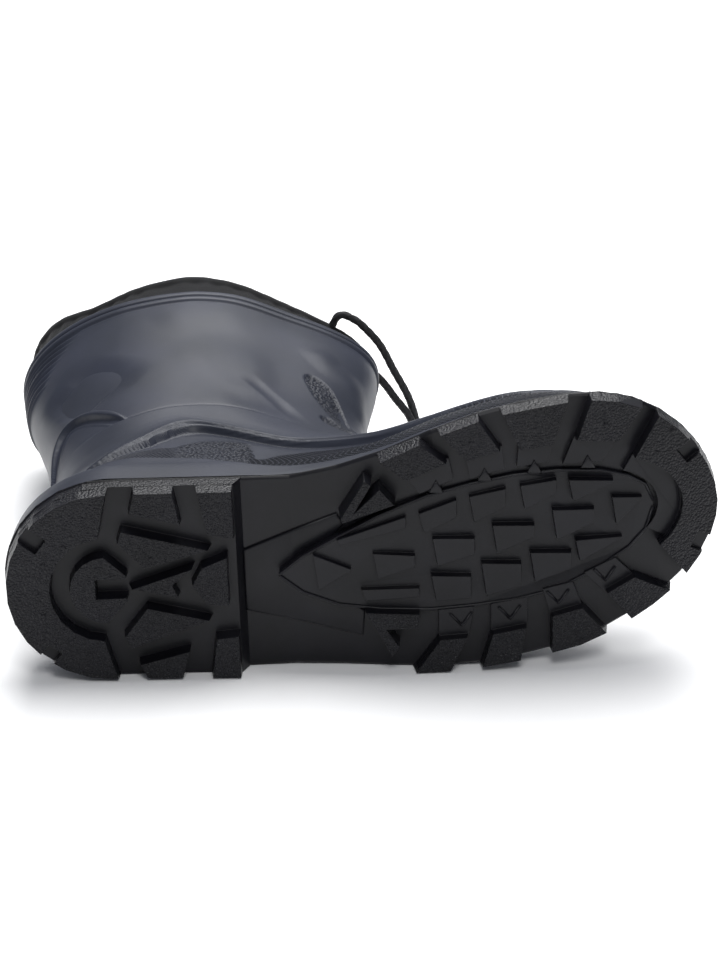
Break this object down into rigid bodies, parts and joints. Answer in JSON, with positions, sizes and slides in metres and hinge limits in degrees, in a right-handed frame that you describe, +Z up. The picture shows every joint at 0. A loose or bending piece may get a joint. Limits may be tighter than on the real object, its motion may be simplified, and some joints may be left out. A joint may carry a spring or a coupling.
{
  "type": "snow boot",
  "caption": "Calf-height rubber snow boot lying on its outer side, with a lugged sole, moulded hollow shell and nylon collar with a drawcord.",
  "frame": {"origin": "bottom centre of the box of the boot without its drawcord, as it lies on its outer side", "axes": "+X towards the toe, +Y towards the collar, +Z up from the floor it lies on; the tread faces -Y"},
  "size_m": [0.3182, 0.2678, 0.129],
  "materials": {
    "sole_rubber": "matt moulded rubber, pebbled on the lugs",
    "shell_rubber": "satin moulded rubber",
    "collar_nylon": "woven nylon",
    "insole_felt": "pressed felt",
    "cord_braid": "braided polyester"
  },
  "bodies": {
    "root": {"outsole": "sole_rubber", "upper": "shell_rubber", "collar": "collar_nylon", "insole": "insole_felt", "drawcord_medial": "cord_braid", "drawcord_lateral": "cord_braid", "drawcord_knot": "cord_braid"}
  },
  "joints": []
}
